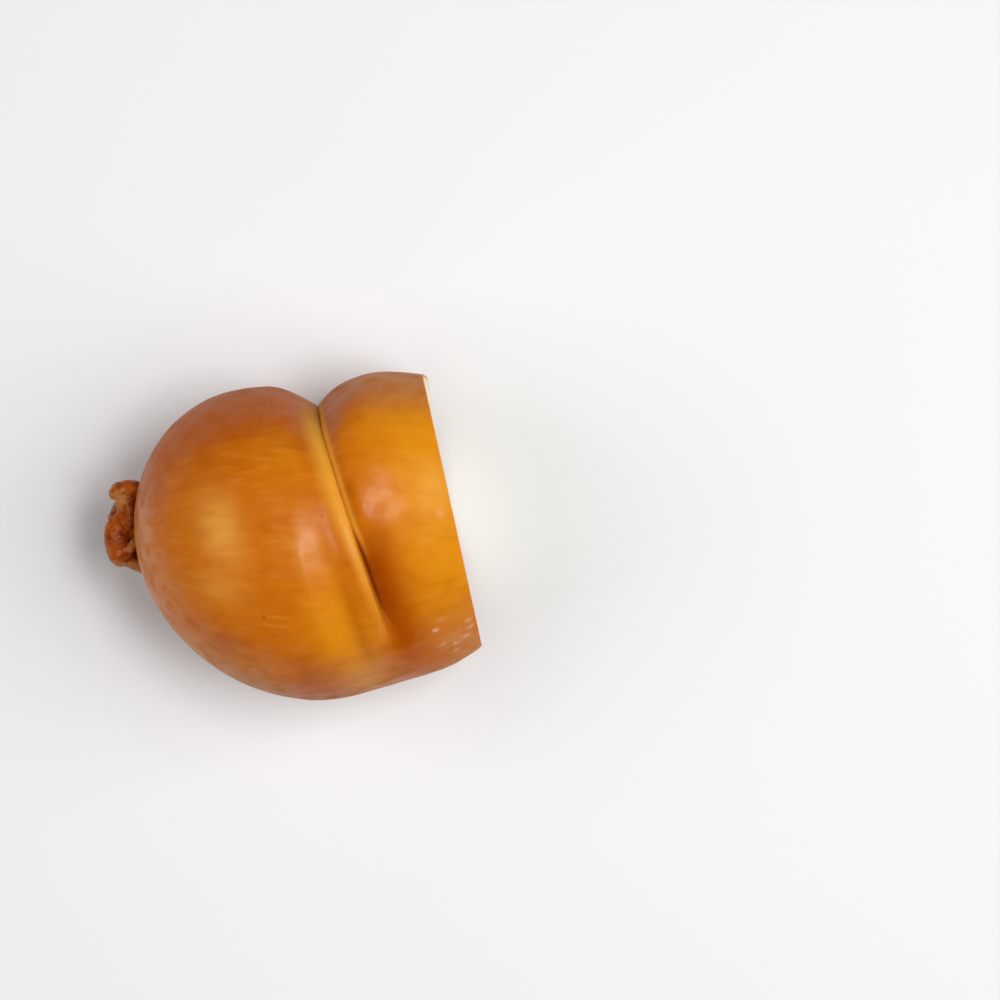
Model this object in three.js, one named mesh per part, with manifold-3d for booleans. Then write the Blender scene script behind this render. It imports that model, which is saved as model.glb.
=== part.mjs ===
// A smoked scamorza cheese that has been sliced from one end, lying on its side.
//
// The cheese is one solid. A round bulb closes in a knot of folded curd at -X. A tie has pinched a
// groove into its far and upper sides, and the head beyond the groove ends in the flat cut at +X.
// Millimetres, +Z up. The part rests on z = 0, under the middle of its bounding box.

import * as THREE from 'three';
import { mergeVertices } from 'three/addons/utils/BufferGeometryUtils.js';
import Module from 'manifold-3d';

// The whole cheese before it was sliced, from the end that carries the knot.
const WHOLE_LENGTH = 108.8;
const BULB_RADIUS = 43.1;
const HEAD_FALL_POWER = 3.33;

// Rings of the body, from the knot end to the cut. Each is a round, upright section: along and side
// place its centre, counted from the knot, and turn is how far its far edge leans to the knot.
const KNOT_RING = { along: 0, side: -6, turn: 8.5 };
const BULB_RING = { along: 44.1, side: -4.3, turn: 13.3 };
const TIE_RING = { along: 59.9, side: -0.7, turn: 18.4 };
const HEAD_RING = { along: 76.3, side: 2.5, turn: 14.7 };
const CUT_RING = { along: 85.2, side: 4.1, turn: 12.4 };
const RINGS = [KNOT_RING, BULB_RING, TIE_RING, HEAD_RING, CUT_RING];

// The soft cheese settles a little under its own weight, and its cut end sags. Settling is how far the
// bulb and the head would sink into the table without the sag, and the head would stand clear of it.
const HEIGHT_SHARE = 0.96;
const BULB_SETTLE = 1;
const HEAD_SETTLE = -0.45;
const CUT_SAG = 3;

// The top of the head leans to the far side, more and more over the lean's reach beyond the tie. The cut
// leans out at the top.
const HEAD_LEAN = 7.5;
const LEAN_REACH = 12;
const CUT_LEAN = 0.6;

// The tie's groove: a wide round valley with a narrow cleft along its floor. The valley steps from its
// depth on the bulb to its depth on the head within the step's reach. A size that changes around the
// body is a list of stops, each of degrees and a value, from 0 on the far side to 180 near.
const GROOVE_BULB_DEPTH = [[20, 7.7], [70, 3], [107, 2.2], [145, 0]];
const GROOVE_HEAD_DEPTH = [[20, 7.7], [62, 2.3], [86, 2.3], [108, 6.2], [118, 5.8], [146, 0]];
const GROOVE_BULB_REACH = 13.9;
const GROOVE_HEAD_REACH = [[20, 17.4], [62, 4.2], [86, 4.2], [108, 14], [114, 15]];
const GROOVE_BULB_POWER = 1.73;
const GROOVE_HEAD_POWER = [[20, 2.17], [62, 1.5], [86, 1.5], [105, 2.1]];
const STEP_REACH = [[122, 0.4], [140, 4]];
const CLEFT_DEPTH = 1;
const CLEFT_REACH = 0.4;
const CLEFT_SHARE = [[40, 0.3], [62, 0.12], [87, 0.15], [101, 1], [112, 1], [131, 0]];

// Beside the cleft, the bulb rises in a soft lip behind a shallow trough, and the head in a roll.
const LIP = { height: 1.2, before: 0.9, reach: 4.4 };
const LIP_SHARE = [[25, 0], [50, 0.4], [82, 0.85], [103, 1], [118, 1], [142, 0]];
const TROUGH = { height: -1.1, before: 9.4, reach: 5.2 };
const TROUGH_SHARE = [[75, 0], [105, 1], [122, 1], [155, 0]];
const ROLL = { height: 0.3, before: -4, reach: 7 };
const ROLL_SHARE = [[45, 0], [62, 1], [85, 1], [100, 0]];

// Slow waves that leave the skin uneven, as hand-stretched curd is. Each has a number of crests around
// the body, and leans along it so that one crest passes a given place in the stated length.
const WAVE_HEIGHT = 0.35;
const WAVES = [
  { crests: 2, length: 107, start: 0 },
  { crests: 3, length: -132, start: 1 },
];

// Folds of the knot, which hangs a little below the bulb's middle. Each is a round strand along a
// curve through three places, counted from the knot's middle, and rounds off at both ends. Taper is the
// share of its radius that is left at the last place.
const KNOT_DROP = 3;
const KNOT_FOLDS = [
  { path: [[5, 8.4, 2.6], [-3.6, 10, 2.6], [-6.2, 7, 1.8]], radius: 2.5, taper: 0.75 },
  { path: [[-4.6, 8.6, 1], [-2.5, 3.6, 2], [-3.4, -1.6, 2.4]], radius: 3, taper: 1 },
  { path: [[-5, 2.6, 2.2], [-5.6, -4.2, 3.2], [-3.8, -10.6, 0.2]], radius: 3.1, taper: 1 },
  { path: [[0.8, -3.2, 4.4], [-1.2, -5.8, 4], [-2.4, -8.8, 2.4]], radius: 1.4, taper: 1 },
  { path: [[6, -6, -2.6], [0.4, -6.6, -2.2], [-3.4, -7.4, -2.2]], radius: 4, taper: 1 },
  { path: [[-4.8, -8.2, -1], [-1.2, -10, 0.4], [5, -12, 0]], radius: 2.1, taper: 1 },
  { path: [[2, 8, -5], [-4.4, 1.6, -5.2], [-1.6, -6.6, -8]], radius: 4.3, taper: 1 },
  { path: [[8, -1, -3], [0.5, -0.6, -3], [-3.2, 0.8, -3]], radius: 6.6, taper: 1 },
];
const FOLD_BLUNTNESS = 4;

// Fineness of the facets.
const AROUND = 96;
const BULB_END_STEPS = 16;
const BODY_STEP = 2.2;
const GROOVE_STEPS = [0.4, 1.1, 2, 3.2];
const FOLD_STEPS = 16;
const FOLD_AROUND = 14;

const RIND = { color: 0xc8741e, roughness: 0.42, metalness: 0 };

const wasm = await Module();
wasm.setup();

// One size of the rings at a place along the body, on a smooth curve through all of them.
function ringSize(key, along) {
  const last = RINGS.length - 1;
  const i = Math.min(RINGS.findLastIndex((ring) => ring.along <= along), last - 1);
  const slopeAt = (n) => {
    const before = RINGS[Math.max(n - 1, 0)];
    const after = RINGS[Math.min(n + 1, last)];
    return (after[key] - before[key]) / (after.along - before.along);
  };
  const [a, b] = [RINGS[i], RINGS[i + 1]];
  const span = b.along - a.along;
  const t = (along - a.along) / span;
  const rise = t * t * (3 - 2 * t);
  return (
    a[key] + (b[key] - a[key]) * rise
    + span * t * (1 - t) * (slopeAt(i) * (1 - t) - slopeAt(i + 1) * t)
  );
}

// Radius of the body before the groove: half an ellipsoid up to the widest ring, then a fuller curve
// that would close at the whole cheese's far end.
function bodyRadius(along) {
  const beyond = along - BULB_RING.along;
  const fall = beyond < 0
    ? (beyond / BULB_RING.along) ** 2
    : (beyond / (WHOLE_LENGTH - BULB_RING.along)) ** HEAD_FALL_POWER;
  return BULB_RADIUS * Math.sqrt(1 - fall);
}

// Height of the ring centres: the bulb and the head both settle on the table, and the cut end sags.
function centreHeight(along) {
  const { lerp, smoothstep } = THREE.MathUtils;
  const bulb = bodyRadius(BULB_RING.along) * HEIGHT_SHARE - BULB_SETTLE;
  const head = bodyRadius(HEAD_RING.along) * HEIGHT_SHARE - HEAD_SETTLE;
  const level = lerp(bulb, head, smoothstep(along, BULB_RING.along, HEAD_RING.along));
  const past = Math.max(0, along - TIE_RING.along) / (CUT_RING.along - TIE_RING.along);
  return level - CUT_SAG * past * past;
}

// Degrees around the body, from 0 on the far side to 180 on the near side, either way round.
function degreesFromFar(angle) {
  return Math.abs(THREE.MathUtils.radToDeg(Math.atan2(Math.sin(angle), Math.cos(angle))));
}

// A size that changes around the body, smoothly from stop to stop.
function sizeAround(stops, degrees) {
  const { lerp, smoothstep } = THREE.MathUtils;
  return stops.slice(1).reduce((value, [end, next], i) => {
    const start = stops[i][0];
    return lerp(value, next, smoothstep(degrees, start, end));
  }, stops[0][1]);
}

// A smooth hump of the given height, centred a little before or past the tie.
function hump({ height, before, reach }, beyond) {
  const away = Math.min(Math.abs(beyond + before) / reach, 1);
  return height * (1 - away * away) ** 2;
}

// How far the tie has moved the skin in, or out where negative, along and around the body.
function grooveDepth(along, angle) {
  const { lerp, smoothstep } = THREE.MathUtils;
  const degrees = degreesFromFar(angle);
  const around = (stops) => sizeAround(stops, degrees);
  const beyond = along - TIE_RING.along;
  const onBulb = Math.max(0, 1 + Math.min(beyond, 0) / GROOVE_BULB_REACH) ** GROOVE_BULB_POWER;
  const headSpan = around(GROOVE_HEAD_REACH);
  const onHead = Math.max(0, 1 - Math.max(beyond, 0) / headSpan) ** around(GROOVE_HEAD_POWER);
  const stepReach = around(STEP_REACH);
  const over = smoothstep(beyond, -stepReach, stepReach);
  const valley = lerp(around(GROOVE_BULB_DEPTH) * onBulb, around(GROOVE_HEAD_DEPTH) * onHead, over);
  const cleft = CLEFT_DEPTH * Math.max(0, 1 - Math.abs(beyond) / CLEFT_REACH);
  return (
    valley
    + cleft * around(CLEFT_SHARE)
    - hump(LIP, beyond) * around(LIP_SHARE) * (1 - over)
    - hump(TROUGH, beyond) * around(TROUGH_SHARE)
    - hump(ROLL, beyond) * around(ROLL_SHARE) * over
  );
}

// The waves' height at a place along and around the body, in shares of the wave height.
function waveAt(along, angle) {
  return WAVES.reduce((sum, { crests, length, start }) => {
    const lean = (2 * Math.PI * along) / length;
    return sum + Math.sin(crests * angle + lean + start);
  }, 0);
}

// A place on the body, or inside it where share is under one. Angle runs from far over the top.
function bodyPoint(along, angle, share) {
  const { degToRad, smoothstep } = THREE.MathUtils;
  const evenness = 1 + (WAVE_HEIGHT * waveAt(along, angle)) / BULB_RADIUS;
  const radius = share * (bodyRadius(along) * evenness - grooveDepth(along, angle));
  const onHead = smoothstep(along, TIE_RING.along, TIE_RING.along + LEAN_REACH);
  const lean = HEAD_LEAN * share * Math.max(0, Math.sin(angle)) ** 2 * onHead;
  const across = radius * Math.cos(angle) + lean;
  const turn = degToRad(ringSize('turn', along));
  const atCut = smoothstep(along, HEAD_RING.along, CUT_RING.along);
  return new THREE.Vector3(
    along - across * Math.sin(turn) + CUT_LEAN * share * Math.sin(angle) * atCut,
    ringSize('side', along) + across * Math.cos(turn),
    centreHeight(along) + radius * Math.sin(angle) * HEIGHT_SHARE,
  );
}

// Where the body's rings are cut into facets: even on the round end, close together at the groove.
function ringPlaces() {
  const places = [];
  for (let i = 0; i < BULB_END_STEPS; i += 1) {
    places.push(BULB_RING.along * (1 - Math.cos((Math.PI / 2) * (i / BULB_END_STEPS))));
  }
  const nearTie = GROOVE_STEPS.at(-1);
  const addEven = (from, to) => {
    const count = Math.round((to - from) / BODY_STEP);
    for (let i = 0; i < count; i += 1) places.push(from + ((to - from) * i) / count);
  };
  addEven(BULB_RING.along, TIE_RING.along - nearTie);
  places.push(...GROOVE_STEPS.toReversed().map((step) => TIE_RING.along - step));
  places.push(TIE_RING.along);
  places.push(...GROOVE_STEPS.slice(0, -1).map((step) => TIE_RING.along + step));
  addEven(TIE_RING.along + nearTie, CUT_RING.along);
  places.push(CUT_RING.along);
  return places;
}

// The body: a turned shape whose rings are then moved to their places.
function bodyGeometry() {
  const profile = ringPlaces().map((along) => new THREE.Vector2(bodyRadius(along), along));
  profile.push(new THREE.Vector2(0, CUT_RING.along));
  const geometry = new THREE.LatheGeometry(profile, AROUND);
  const position = geometry.getAttribute('position');
  for (let i = 0; i < position.count; i += 1) {
    const turned = new THREE.Vector3().fromBufferAttribute(position, i);
    const angle = Math.atan2(turned.x, turned.z);
    const full = bodyRadius(turned.y);
    const share = full > 0 ? Math.hypot(turned.x, turned.z) / full : 0;
    const moved = bodyPoint(turned.y, angle, share);
    position.setXYZ(i, moved.x, moved.y, moved.z);
  }
  return geometry;
}

// One fold of the knot: a tube along its curve, rounded off at both ends.
function foldGeometry({ path, radius, taper }) {
  const lift = centreHeight(KNOT_RING.along) - KNOT_DROP;
  const curve = new THREE.CatmullRomCurve3(path.map(([x, y, z]) => new THREE.Vector3(x, y, z + lift)));
  const geometry = new THREE.TubeGeometry(curve, FOLD_STEPS, 1, FOLD_AROUND, false);
  const position = geometry.getAttribute('position');
  for (let i = 0; i < position.count; i += 1) {
    const t = Math.floor(i / (FOLD_AROUND + 1)) / FOLD_STEPS;
    const middle = curve.getPointAt(t);
    const rounding = Math.sqrt(1 - Math.abs(2 * t - 1) ** FOLD_BLUNTNESS);
    const girth = radius * THREE.MathUtils.lerp(1, taper, t) * rounding;
    const out = new THREE.Vector3().fromBufferAttribute(position, i).sub(middle);
    const moved = middle.addScaledVector(out, girth);
    position.setXYZ(i, moved.x, moved.y, moved.z);
  }
  return geometry;
}

// A closed geometry as a solid that can be joined and cut.
function solidOf(geometry) {
  const bare = geometry.clone();
  bare.deleteAttribute('normal');
  bare.deleteAttribute('uv');
  const merged = mergeVertices(bare);
  const corners = merged.index.array;
  const kept = [];
  for (let i = 0; i < corners.length; i += 3) {
    const [a, b, c] = corners.subarray(i, i + 3);
    if (a !== b && b !== c && c !== a) kept.push(a, b, c);
  }
  return new wasm.Manifold(new wasm.Mesh({
    numProp: 3,
    vertProperties: new Float32Array(merged.getAttribute('position').array),
    triVerts: new Uint32Array(kept),
  }));
}

// A solid back as a geometry for a mesh.
function geometryOf(solid) {
  const { vertProperties, triVerts } = solid.getMesh();
  const geometry = new THREE.BufferGeometry();
  geometry.setAttribute('position', new THREE.BufferAttribute(vertProperties, 3));
  geometry.setIndex(new THREE.BufferAttribute(triVerts, 1));
  geometry.computeVertexNormals();
  return geometry;
}

// Everything below the table, which leaves the flat spots that the cheese rests on.
function tableSolid() {
  const side = 3 * CUT_RING.along;
  const slab = new THREE.BoxGeometry(side, side, BULB_RADIUS);
  slab.translate(CUT_RING.along / 2, 0, -BULB_RADIUS / 2);
  return solidOf(slab);
}

// The outer skin alone, without pockets closed in between the folds.
function outerBody(solid) {
  return solid.decompose().reduce((most, body) => (body.volume() > most.volume() ? body : most));
}

function scamorzaMesh() {
  const knotted = KNOT_FOLDS.reduce(
    (solid, fold) => solid.add(solidOf(foldGeometry(fold))),
    solidOf(bodyGeometry()),
  );
  const geometry = geometryOf(outerBody(knotted.subtract(tableSolid())));
  const mesh = new THREE.Mesh(geometry, new THREE.MeshStandardMaterial(RIND));
  mesh.name = 'scamorza';
  geometry.computeBoundingBox();
  const middle = geometry.boundingBox.getCenter(new THREE.Vector3());
  mesh.position.set(-middle.x, -middle.y, 0);
  return mesh;
}

const cheese = new THREE.Group();
cheese.add(scamorzaMesh());

export default cheese;
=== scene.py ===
"""A smoked scamorza cheese, sliced from one end and lying on its side.

Sizes are in millimetres, and meshes, lights and the camera are in metres. Along counts from the knot
towards the cut, and beyond counts the same way from the tie's cleft. Degrees run around the body from 0 on
the far side, over the top, to 180 near.
"""

from __future__ import annotations

import logging
import math
from dataclasses import dataclass, field
from enum import Enum
from typing import Any

import bmesh
import bpy
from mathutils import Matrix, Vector, noise


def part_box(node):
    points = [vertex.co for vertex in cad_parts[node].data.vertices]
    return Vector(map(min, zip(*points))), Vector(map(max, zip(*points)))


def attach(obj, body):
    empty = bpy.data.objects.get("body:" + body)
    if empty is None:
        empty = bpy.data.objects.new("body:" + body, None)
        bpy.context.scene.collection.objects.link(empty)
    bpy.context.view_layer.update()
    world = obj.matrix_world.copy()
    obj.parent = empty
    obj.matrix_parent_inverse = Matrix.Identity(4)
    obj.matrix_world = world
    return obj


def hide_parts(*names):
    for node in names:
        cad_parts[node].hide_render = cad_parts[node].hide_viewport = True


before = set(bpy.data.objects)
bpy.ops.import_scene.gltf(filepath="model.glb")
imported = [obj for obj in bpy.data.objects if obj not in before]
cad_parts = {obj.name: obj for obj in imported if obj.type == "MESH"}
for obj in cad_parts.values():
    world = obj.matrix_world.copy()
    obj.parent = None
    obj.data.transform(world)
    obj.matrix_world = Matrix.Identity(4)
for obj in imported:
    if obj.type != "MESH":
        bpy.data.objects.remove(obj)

MM = 0.001
NODE = "scamorza"
LOG = logging.getLogger("scamorza")

# The level that noise in a material lies around.
EVEN = 0.5
# A length that counts as none.
TINY = 1e-6
# The Mix node's sockets for colours: its share, its two inputs and its output.
MIX_SHARE, MIX_FIRST, MIX_SECOND, MIX_RESULT = 0, 6, 7, 2

Pair = tuple[float, float]
Triple = tuple[float, float, float]
Colour = Triple


class Surface(Enum):
    """The cheese's surfaces, each with the material slot it takes."""

    RIND = 0
    KNOT = 1
    PASTE = 2


def smoothstep(value: float, low: float, high: float) -> float:
    """A smooth rise from 0 at low to 1 at high.

    Args:
        value: Where to read the rise.
        low: Where it starts.
        high: Where it ends.

    Returns:
        The rise, from 0 to 1.
    """
    t = min(max((value - low) / (high - low), 0.0), 1.0)
    return t * t * (3 - 2 * t)


def between(start: float, end: float, share: float) -> float:
    """The value that lies a share of the way from start to end."""
    return start + (end - start) * share


def linear(*parts: int) -> Colour:
    """A colour of 0 to 255 as the light values that a shader takes.

    Args:
        parts: Its red, green and blue, as a screen shows them.

    Returns:
        The three light values, from 0 to 1.
    """
    shares = [part / 255 for part in parts]
    lit = [s / 12.92 if s <= 0.04045 else ((s + 0.055) / 1.055) ** 2.4 for s in shares]
    return lit[0], lit[1], lit[2]


class Value:
    """A number in a material that can be used in Python expressions."""

    def __init__(self, sheet: NodeSheet, socket: bpy.types.NodeSocket | None) -> None:
        """Wraps one output socket of a sheet's node."""
        self.sheet = sheet
        self.socket = socket

    def math(self, operation: str, *others: Any) -> Value:
        """The result of one Math node on this value and others."""
        inputs = dict(enumerate((self, *others)))
        return self.sheet.node("ShaderNodeMath", {"operation": operation}, inputs)

    def __add__(self, other: Any) -> Value:
        """This value plus another."""
        return self.math("ADD", other)

    __radd__ = __add__

    def __mul__(self, other: Any) -> Value:
        """This value times another."""
        return self.math("MULTIPLY", other)

    __rmul__ = __mul__

    def __sub__(self, other: Any) -> Value:
        """This value less another."""
        return self.math("SUBTRACT", other)

    def __rsub__(self, other: float) -> Value:
        """A number less this value."""
        return self.sheet.node("ShaderNodeMath", {"operation": "SUBTRACT"}, {0: other, 1: self})

    def blend(self, other: Value, share: float) -> Value:
        """This value with a share of it given to another."""
        return self * (1 - share) + other * share

    def rise(self, low: float, high: float) -> Value:
        """A smooth rise from 0 where this value is low to 1 where it is high."""
        inputs = {"Value": self, "From Min": low, "From Max": high}
        return self.sheet.node("ShaderNodeMapRange", {"interpolation_type": "SMOOTHSTEP"}, inputs)


class NodeSheet:
    """One material's nodes."""

    def __init__(self, name: str) -> None:
        """Starts a material with an empty sheet.

        Args:
            name: The material's name.
        """
        self.material = bpy.data.materials.new(name)
        self.material.use_nodes = True
        self.tree = self.material.node_tree
        self.tree.nodes.clear()

    def node(
        self,
        kind: str,
        settings: dict[str, Any] | None = None,
        inputs: dict[int | str, Any] | None = None,
        output: int | str = 0,
    ) -> Value:
        """Adds one node, sets it and links it.

        Args:
            kind: The node's type.
            settings: Its own properties, which are set first.
            inputs: A number, colour, vector or linked value for each named or counted socket.
            output: The socket that is wanted.

        Returns:
            The wanted output.
        """
        made = self.tree.nodes.new(kind)
        for key, setting in (settings or {}).items():
            setattr(made, key, setting)
        for key, given in (inputs or {}).items():
            socket = made.inputs[key]
            if isinstance(given, Value):
                self.tree.links.new(given.socket, socket)
            elif isinstance(given, tuple) and socket.type == "RGBA" and len(given) == 3:
                socket.default_value = (*given, 1.0)
            else:
                socket.default_value = given
        return Value(self, made.outputs[output] if made.outputs else None)

    def mix(self, first: Any, second: Any, share: Any) -> Value:
        """Two colours mixed.

        Args:
            first: The colour where share is 0.
            second: The colour where share is 1.
            share: How much of the second shows.

        Returns:
            The mixed colour.
        """
        settings = {"data_type": "RGBA", "clamp_factor": True}
        inputs = {MIX_SHARE: share, MIX_FIRST: first, MIX_SECOND: second}
        return self.node("ShaderNodeMix", settings, inputs, MIX_RESULT)

    def vector(self, operation: str, first: Any, second: Any, output: int | str = 0) -> Value:
        """One Vector Math node on two vectors."""
        return self.node("ShaderNodeVectorMath", {"operation": operation}, {0: first, 1: second}, output)

    def place(self) -> Value:
        """The place on the piece, in metres."""
        return self.node("ShaderNodeTexCoord", output="Object")

    def attribute(self, name: str) -> Value:
        """A number that the piece's own mesh carries."""
        return self.node("ShaderNodeAttribute", {"attribute_name": name}, output="Fac")

    def grain(
        self, place: Value, size: Any, detail: float = 2.0, roughness: float = 0.5, distortion: float = 0.0
    ) -> Value:
        """Noise of a given size.

        Args:
            place: Where to read the noise, in metres.
            size: The size of its features in millimetres, one number or one for each axis.
            detail: How many finer layers it has.
            roughness: How strong the finer layers are.
            distortion: How far its features are bent.

        Returns:
            The noise, from 0 to 1 and mostly near one half.
        """
        sizes = size if isinstance(size, tuple) else (size,) * 3
        inputs = {
            "Vector": self.vector("MULTIPLY", place, tuple(1 / (part * MM) for part in sizes)),
            "Scale": 1.0,
            "Detail": detail,
            "Roughness": roughness,
            "Distortion": distortion,
        }
        return self.node("ShaderNodeTexNoise", inputs=inputs)

    def bump(self, relief: Value, strength: float, depth: float) -> Value:
        """A normal that follows a relief, by its strength and its depth in millimetres."""
        inputs = {"Strength": strength, "Distance": depth * MM, "Height": relief}
        return self.node("ShaderNodeBump", inputs=inputs)

    def finish(self, inputs: dict[str, Any]) -> bpy.types.Material:
        """Shades the surface and hands over the material.

        Args:
            inputs: A number, colour or linked value for each named socket of the shader.

        Returns:
            The material.
        """
        shader = self.node("ShaderNodeBsdfPrincipled", inputs=inputs)
        self.node("ShaderNodeOutputMaterial", inputs={"Surface": shader})
        return self.material


@dataclass(frozen=True)
class Glow:
    """The light that goes under a surface: its share, its depth, and how far each colour of it spreads."""

    share: float
    depth: float
    spread: Colour

    def inputs(self) -> dict[str, Any]:
        """The values for the shader's sockets."""
        return {
            "Subsurface Weight": self.share,
            "Subsurface Radius": self.spread,
            "Subsurface Scale": self.depth * MM,
        }


@dataclass(frozen=True)
class RindFinish:
    """The smooth amber rind: streaked along the cheese, golden in patches, pale beside the tie's cleft, with
    some light and shade painted into its colour.

    A range gives where a colour starts to show and where it is whole.
    """

    amber: Colour = linear(196, 105, 10)
    # Deep: the dark end of the rind's random tone, and the colour of the painted flank shade that darkens
    # the sides away from the crown.
    deep: Colour = linear(176, 84, 3)
    gold: Colour = linear(221, 142, 14)
    # Honey: a paler tone of the rind in dashes and patches; two of the patches are painted highlight.
    honey_and_highlight: Colour = linear(228, 166, 72)
    # Pale: the paler rind of the lip beside the cleft, partly painted light: a painted highlight along its
    # edge and across the cleft, and extra paleness where the lip turns from the lamps.
    pale: Colour = linear(229, 164, 56)
    # Painted highlight: pale pink glints on the raised flecks near the cut.
    pale_glint: Colour = linear(230, 178, 138)
    # Painted reflection: a pinkish sheen at the rim of the bulb's knot end and low on the near side by the
    # cut.
    rim_sheen: Colour = linear(204, 146, 112)
    # Painted shade: dark brown in the groove's valley beside the cleft and in the trough before the lip.
    valley: Colour = linear(152, 64, 2)
    # Painted shade: the dark line down the tie's cleft.
    slit_shade: Colour = linear(104, 44, 6)
    speck: Colour = linear(132, 46, 8)
    axis_side: float = -1.5
    axis_height: float = 40.0
    body_radius: float = 43.0
    streak_size: Pair = (9.0, 3.2)
    bend: float = 0.5
    dash_size: Pair = (8.0, 1.7)
    cloud_size: float = 20.0
    mottle_size: float = 5.0
    fine_size: float = 0.9
    tone_level: float = 0.55
    streak_weight: float = 0.55
    cloud_weight: float = 0.7
    mottle_weight: float = 0.25
    flank_weight: float = 0.5
    amber_range: Pair = (0.15, 0.65)
    gold_range: Pair = (-0.2, 0.65)
    honey_range: Pair = (-0.6, 0.8)
    dash_range: Pair = (0.5, 0.74)
    dash_cloud_range: Pair = (0.38, 0.6)
    rim_sheen_range: Pair = (0.2, 0.8)
    fleck_range: Pair = (0.3, 0.6)
    dash_share: float = 0.14
    dash_fade: float = 0.6
    valley_shade_share: float = 0.85
    pale_share: float = 0.8
    slit_shade_share: float = 0.72
    speck_core: float = 0.4
    roughness: float = 0.5
    gloss: float = 0.68
    gloss_range: Pair = (0.0, 0.65)
    gloss_roughness: float = 0.36
    dulls: Triple = (0.7, 0.9, 0.25)
    bump: Pair = (0.25, 0.15)
    streak_relief: float = 0.15
    fine_relief: float = 0.6
    glow: Glow = Glow(0.25, 2.0, (1.0, 0.35, 0.08))

    def material(self, specks: list[tuple[Vector, float, float]]) -> bpy.types.Material:
        """Makes the rind's material.

        Args:
            specks: Each dark speck's place and radius in metres, and how strong it is.

        Returns:
            The material.
        """
        sheet = NodeSheet("smoked_rind")
        place = sheet.place()
        streak = sheet.grain(self._along_skin(sheet, place, *self.streak_size), 1.0, distortion=self.bend)
        dash = sheet.grain(self._along_skin(sheet, place, *self.dash_size), 1.0, detail=1.0)
        cloud = sheet.grain(place, self.cloud_size)
        mottle = sheet.grain(place, self.mottle_size, detail=3.0)
        fine = sheet.grain(place, self.fine_size, detail=3.0)
        # Painted shade: the flank mark darkens the sides away from the crown towards the deep colour.
        flank_shade = sheet.attribute("flank_shade")
        valley = sheet.attribute("valley")
        lip = sheet.attribute("lip")
        tone = (streak - EVEN) * self.streak_weight + (cloud - EVEN) * self.cloud_weight
        tone = tone + (mottle - EVEN) * self.mottle_weight + self.tone_level
        light = sheet.attribute("honey_and_highlight") * streak.rise(*self.honey_range)
        dashes = dash.rise(*self.dash_range) * cloud.rise(*self.dash_cloud_range)
        light = light + dashes * (1 - flank_shade * self.dash_fade) * self.dash_share
        colour = sheet.mix(self.deep, self.amber, (tone - flank_shade * self.flank_weight).rise(*self.amber_range))
        for tint, share in (
            (self.gold, sheet.attribute("gold") * tone.rise(*self.gold_range)),
            (self.honey_and_highlight, light),
            (self.rim_sheen, sheet.attribute("rim_sheen") * mottle.rise(*self.rim_sheen_range)),
            (self.valley, valley * self.valley_shade_share),
            (self.pale, lip * self.pale_share),
            (self.slit_shade, sheet.attribute("slit_shade") * self.slit_shade_share),
            (self.pale_glint, sheet.attribute("fleck") * fine.rise(*self.fleck_range)),
        ):
            colour = sheet.mix(colour, tint, share)
        for spot, radius, share in specks:
            away = sheet.vector("DISTANCE", place, tuple(spot), output="Value")
            fade = away.rise(radius * self.speck_core, radius)
            colour = sheet.mix(colour, self.speck, (1 - fade) * share)
        relief = streak * self.streak_relief + fine * self.fine_relief
        coat = self.gloss * mottle.rise(*self.gloss_range)
        for mark, dull in zip((lip, valley, flank_shade), self.dulls):
            coat = coat * (1 - mark * dull)
        return sheet.finish({
            "Base Color": colour,
            "Roughness": self.roughness,
            "Normal": sheet.bump(relief, *self.bump),
            "Specular IOR Level": 0.0,
            "Coat Weight": coat,
            "Coat Roughness": self.gloss_roughness,
            **self.glow.inputs(),
        })

    def _along_skin(self, sheet: NodeSheet, place: Value, length: float, width: float) -> Value:
        """A place that changes slowly along the cheese and fast around it, for the streaks.

        Args:
            sheet: The material's nodes.
            place: The place on the piece.
            length: How long the streaks are, in millimetres.
            width: How wide they are.

        Returns:
            The place, in streaks.
        """
        centre = (0.0, self.axis_side * MM, self.axis_height * MM)
        out = sheet.vector("MULTIPLY", sheet.vector("SUBTRACT", place, centre), (0.0, 1.0, 1.0))
        around = sheet.node("ShaderNodeVectorMath", {"operation": "NORMALIZE"}, {0: out})
        turns = self.body_radius / width * MM
        spread = sheet.vector("MULTIPLY", around, (turns, turns, turns))
        along = sheet.vector("MULTIPLY", place, (1 / length, 0.0, 0.0))
        return sheet.vector("ADD", spread, along)


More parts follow.
